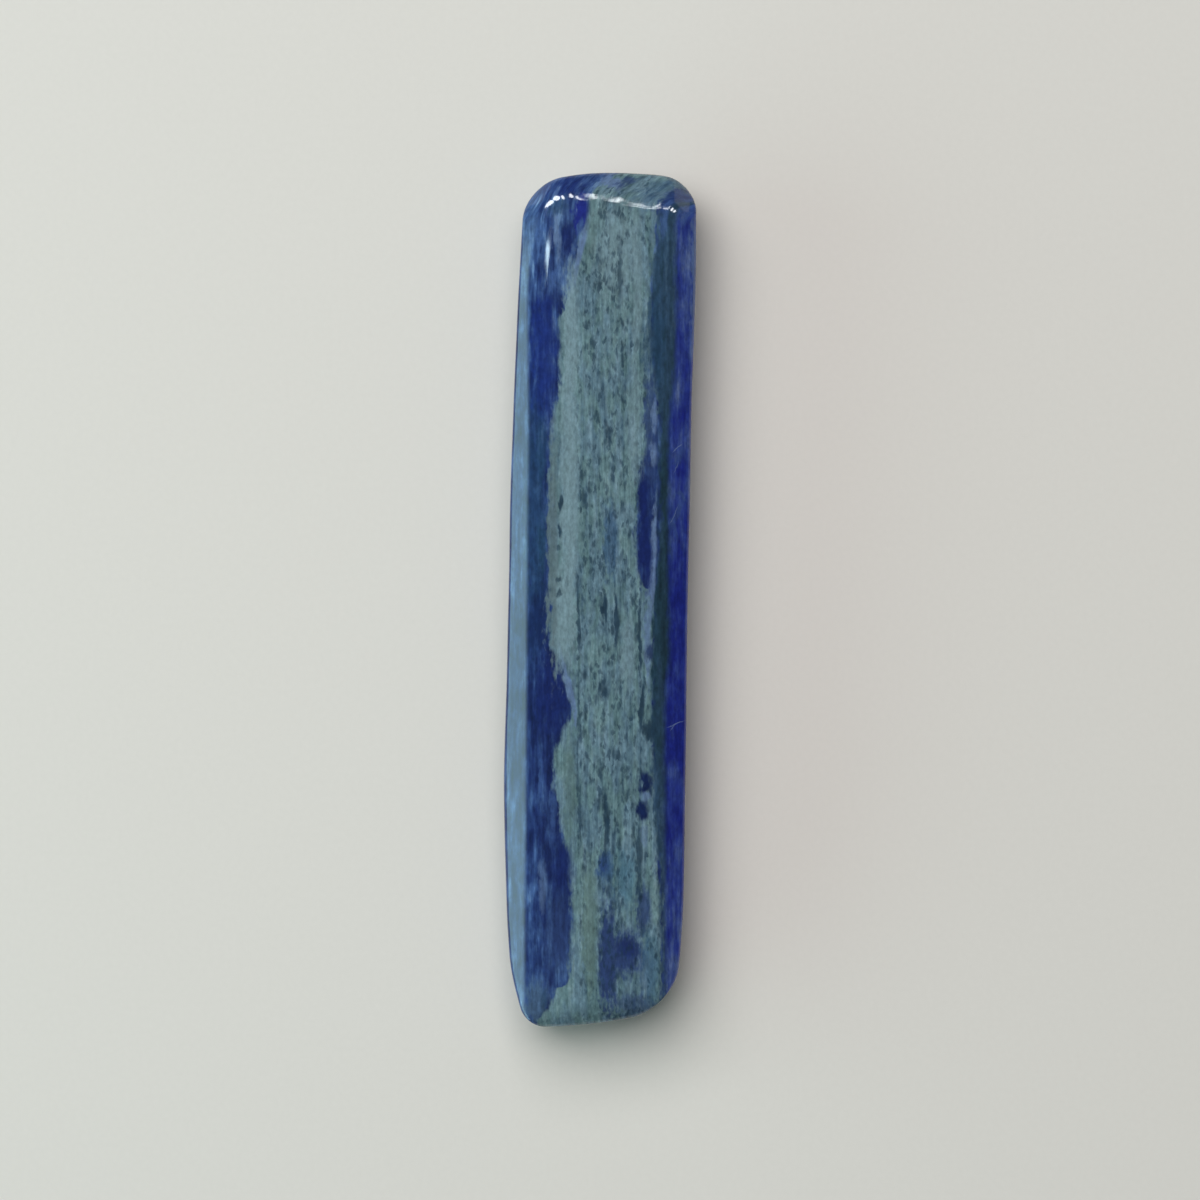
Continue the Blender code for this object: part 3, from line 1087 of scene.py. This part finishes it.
@dataclass
class PolishedBar:
    """The stone: one block that is cut into a fine grid, ground to shape and dressed, in millimetres.

    Each point of the block moves along the line that joins it to the spine. Its place on the surface
    is found by halving the part of that line between the two shares in reach.
    """

    name: str = "polished_stone"
    shape: StoneShape = StoneShape()
    finish: LapisFinish = LapisFinish()
    size: Triple = (19.2, 85.25, 9.0)
    faces: tuple[int, int, int] = (92, 290, 34)
    crowds: tuple[Knots, Knots, Knots] = (
        ((0.0, 0.0), (0.35, 0.47), (0.8, 0.82), (1.0, 1.0)),
        ((0.0, 0.0), (0.6, 0.8), (1.0, 1.0)),
        ((0.0, 0.0), (0.3, 0.45), (1.0, 1.0)),
    )
    spine_half_length: float = 34.0
    spine_z: float = 4.2
    reach: Pair = (0.2, 1.6)
    halvings: int = 30
    lapped_depth: float = 0.0005
    wave_start_z: float = 2.0
    waves: tuple[Wave, ...] = (Wave(0.05, 8.0, 0.0), Wave(0.0015, 2.0, 5.3))

    def build(self) -> bpy.types.Object:
        """Builds the piece and dresses it.

        Returns:
            The piece's object, at the origin.
        """
        block = self._gridded_block()
        self._grind(block)
        self._add_waves(block)
        bmesh.ops.scale(block, vec=(MM, MM, MM), verts=block.verts)
        mesh = bpy.data.meshes.new(self.name)
        block.to_mesh(mesh)
        block.free()
        mesh.shade_smooth()
        mesh.materials.append(self.finish.material())
        piece = bpy.data.objects.new(self.name, mesh)
        bpy.context.scene.collection.objects.link(piece)
        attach(piece, "root")
        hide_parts(STONE_NODE)
        log.info("%s: %d faces", self.name, len(mesh.polygons))
        return piece

    def _gridded_block(self) -> bmesh.types.BMesh:
        """Makes a box the size of the stone, cut into a grid whose lines crowd where the stone turns.

        Returns:
            The box, resting on the origin.
        """
        block = bmesh.new()
        bmesh.ops.create_cube(block, size=2.0)
        for axis, faces in enumerate(self.faces):
            edges = [e for e in block.edges if abs(e.verts[0].co[axis] - e.verts[1].co[axis]) > 1.0]
            bmesh.ops.subdivide_edges(block, edges=edges, cuts=faces - 1, use_grid_fill=True)
        corners = np.array([vertex.co for vertex in block.verts])
        for axis, pairs in enumerate(self.crowds):
            before, after = zip(*pairs)
            share = np.copysign(np.interp(np.abs(corners[:, axis]), before, after), corners[:, axis])
            corners[:, axis] = share * self.size[axis] / 2
        corners[:, 2] += self.size[2] / 2
        self._move(block, corners)
        return block

    def _grind(self, block: bmesh.types.BMesh) -> None:
        """Moves every point in line with the stone's spine until it is on the surface.

        Args:
            block: The gridded box, which is ground to shape.
        """
        box = np.array([vertex.co for vertex in block.verts])
        spine = np.zeros_like(box)
        spine[:, 1] = np.clip(box[:, 1], -self.spine_half_length, self.spine_half_length)
        spine[:, 2] = self.spine_z
        inner, outer = (np.full(len(box), share) for share in self.reach)
        for _ in range(self.halvings):
            share = (inner + outer) / 2
            outside = self.shape.outside(spine + share[:, None] * (box - spine)) > 0
            inner, outer = np.where(outside, inner, share), np.where(outside, share, outer)
        ground = spine + inner[:, None] * (box - spine)
        ground[ground[:, 2] < self.lapped_depth, 2] = 0.0
        self._move(block, ground)

    def _add_waves(self, block: bmesh.types.BMesh) -> None:
        """Adds faint waves from hand grinding, everywhere but on the lapped flat.

        Args:
            block: The stone, whose points are moved.
        """
        block.normal_update()
        for vertex in block.verts:
            share = min(vertex.co.z / self.wave_start_z, 1.0)
            shift = 0.0
            for wave in self.waves:
                place = vertex.co / wave.length + Vector((wave.seed, 0.0, 0.0))
                shift += wave.height * noise.noise(place)
            vertex.co += vertex.normal * (shift * share)

    @staticmethod
    def _move(block: bmesh.types.BMesh, places: np.ndarray) -> None:
        """Puts every point of a mesh at its place."""
        for vertex, place in zip(block.verts, places):
            vertex.co = place


# The studio


@dataclass(frozen=True)
class Softbox:
    """A flat light, which faces its aim, in metres.

    One that isn't mirrored lights the stone but doesn't show in its polish. A feather gives the
    shares of the light's width and height over which it fades out.
    """

    name: str
    place: Triple
    size: Pair
    radiance: float
    tint: Triple = (1.0, 1.0, 1.0)
    mirrored: bool = True
    feather: Pair | None = None
    aim: Triple = (0.0, 0.0, 0.005)

    def build(self) -> None:
        """Adds the light, facing its aim."""
        lamp = bpy.data.lights.new(self.name, "AREA")
        lamp.shape = "RECTANGLE"
        lamp.size, lamp.size_y = self.size
        lamp.energy = self.radiance * math.pi * self.size[0] * self.size[1]
        lamp.color = self.tint
        if self.feather:
            self._fade(lamp, *self.feather)
        body = bpy.data.objects.new(self.name, lamp)
        body.location = self.place
        towards = Vector(self.aim) - Vector(self.place)
        body.rotation_euler = towards.to_track_quat("-Z", "Y").to_euler()
        body.visible_glossy = self.mirrored
        bpy.context.scene.collection.objects.link(body)

    @staticmethod
    def _fade(lamp: bpy.types.AreaLight, across_share: float, upward_share: float) -> None:
        """Makes a light fade out towards the head and upwards.

        Args:
            lamp: The light.
            across_share: The share of its width over which it fades.
            upward_share: The share of its height over which it fades.
        """
        shader = Shader(lamp, "Emission")
        spot = shader.node("ShaderNodeNewGeometry", {}, {})
        across, height, _ = shader.parts(Link(shader, spot.outputs["Parametric"]))
        kept = shader.level(across, 0.0, across_share)
        kept = kept * (1.0 - shader.level(height, 1.0 - upward_share, 1.0))
        shader.feed(shader.result.inputs["Strength"], kept)


@dataclass(frozen=True)
class Glint:
    """A lamp seen only as a highlight on the polish.

    Its azimuth from +Y, its tilt from upright, its width and its height are in degrees.
    """

    azimuth: float
    tilt: float
    width: float
    height: float
    radiance: float = 22.0
    tint: Triple = (0.93, 0.97, 1.0)
    distance: float = 0.45
    aim: Triple = (0.0, 0.039, 0.0087)

    def build(self, name: str) -> None:
        """Adds the lamp, facing the bar's head.

        Args:
            name: The lamp's name.
        """
        azimuth, tilt = math.radians(self.azimuth), math.radians(self.tilt)
        sideways, forward = math.sin(tilt) * math.sin(azimuth), math.sin(tilt) * math.cos(azimuth)
        away = Vector((sideways, forward, math.cos(tilt)))
        lamp = bpy.data.lights.new(name, "AREA")
        lamp.shape = "ELLIPSE"
        lamp.size = 2 * self.distance * math.tan(math.radians(self.width / 2))
        lamp.size_y = 2 * self.distance * math.tan(math.radians(self.height / 2))
        lamp.energy = self.radiance * math.pi * lamp.size * lamp.size_y * math.pi / 4
        lamp.color = self.tint
        body = bpy.data.objects.new(name, lamp)
        body.location = Vector(self.aim) + away * self.distance
        body.rotation_euler = (-away).to_track_quat("-Z", "Y").to_euler()
        body.visible_diffuse = False
        bpy.context.scene.collection.objects.link(body)


@dataclass
class Studio:
    """Camera, lights and floor."""

    view_width: float = 0.120
    lens: float = 200.0
    sensor: float = 36.0
    focus_z: float = 0.0055
    floor_size: float = 2.4
    floor_tint: Screen = (212, 208, 202)
    floor_change: int = 4
    floor_fibres: Pattern = Pattern((0.6, 0.6, 0.6), detail=3.0)
    floor_roughness: float = 0.9
    world_light: float = 0.1
    softboxes: tuple[Softbox, ...] = (
        Softbox("overhead", (-0.25, 0.45, 0.95), (1.1, 1.1), 3.75, mirrored=False),
        Softbox(
            "window",
            (-0.47, -0.2075, 0.15),
            (0.785, 0.3),
            4.5,
            tint=(0.61, 1.0, 0.98),
            feather=(0.11, 0.6),
            aim=(0.0, -0.2075, 0.005),
        ),
    )
    glints: tuple[Glint, ...] = (
        Glint(-61.0, 52.0, 16.0, 18.0),
        Glint(-42.0, 48.0, 12.0, 18.0),
        Glint(-27.0, 39.0, 6.0, 18.0),
        Glint(-9.5, 37.0, 2.6, 18.0),
        Glint(-4.5, 25.5, 1.2, 20.0),
        Glint(1.8, 36.0, 1.4, 22.0),
        Glint(6.5, 34.0, 0.6, 18.0, radiance=9.0),
        Glint(12.2, 32.5, 1.1, 27.0, radiance=26.0),
        Glint(19.3, 39.5, 0.8, 25.0, radiance=28.0),
        Glint(23.0, 27.0, 0.8, 25.0),
        Glint(28.3, 42.5, 1.0, 25.0),
        Glint(44.0, 47.0, 10.0, 18.0),
        Glint(60.0, 52.5, 6.0, 18.0),
        Glint(-76.3, 26.8, 1.2, 14.0, tint=(0.7, 0.92, 1.0)),
    )

    def build(self) -> None:
        """Builds the whole studio."""
        self._camera()
        for softbox in self.softboxes:
            softbox.build()
        for number, glint in enumerate(self.glints):
            glint.build(f"glint_{number}")
        self._world()
        self._floor()
        bpy.context.scene.view_settings.view_transform = "Standard"
        log.info("studio: %d lights", len(self.softboxes) + len(self.glints))

    def _camera(self) -> None:
        """Camera straight above the bar, with the head at the top of the picture."""
        lens = bpy.data.cameras.new("camera")
        lens.lens, lens.sensor_width = self.lens, self.sensor
        lens.clip_start, lens.clip_end = 0.01, 10.0
        camera = bpy.data.objects.new("camera", lens)
        camera.location = (0.0, 0.0, self.view_width * self.lens / self.sensor + self.focus_z)
        bpy.context.scene.collection.objects.link(camera)
        bpy.context.scene.camera = camera

    def _world(self) -> None:
        """Dim even light from all round."""
        world = bpy.data.worlds.new("studio")
        sky = Shader(world, "Background")
        sky.result.inputs["Color"].default_value = (1.0, 1.0, 1.0, 1.0)
        sky.result.inputs["Strength"].default_value = self.world_light
        bpy.context.scene.world = world

    def _floor(self) -> None:
        """Plain pale floor."""
        sheet = bmesh.new()
        bmesh.ops.create_grid(sheet, x_segments=1, y_segments=1, size=self.floor_size / 2)
        mesh = bpy.data.meshes.new("floor")
        sheet.to_mesh(mesh)
        sheet.free()
        material = bpy.data.materials.new("floor_paper")
        paper = Shader(material, "Principled BSDF")
        fibres = paper.noise(paper.place(), self.floor_fibres)
        bright = colour(*self.floor_tint)
        dim = colour(*(tone - self.floor_change for tone in self.floor_tint))
        paper.feed(paper.result.inputs["Base Color"], paper.blend(fibres + 0.5, bright, dim))
        paper.result.inputs["Roughness"].default_value = self.floor_roughness
        mesh.materials.append(material)
        floor = bpy.data.objects.new("floor", mesh)
        bpy.context.scene.collection.objects.link(floor)


def main() -> None:
    """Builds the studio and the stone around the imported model."""
    logging.basicConfig(level=logging.INFO, format="%(name)s: %(message)s")
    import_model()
    Studio().build()
    PolishedBar().build()


if __name__ == "__main__":
    main()
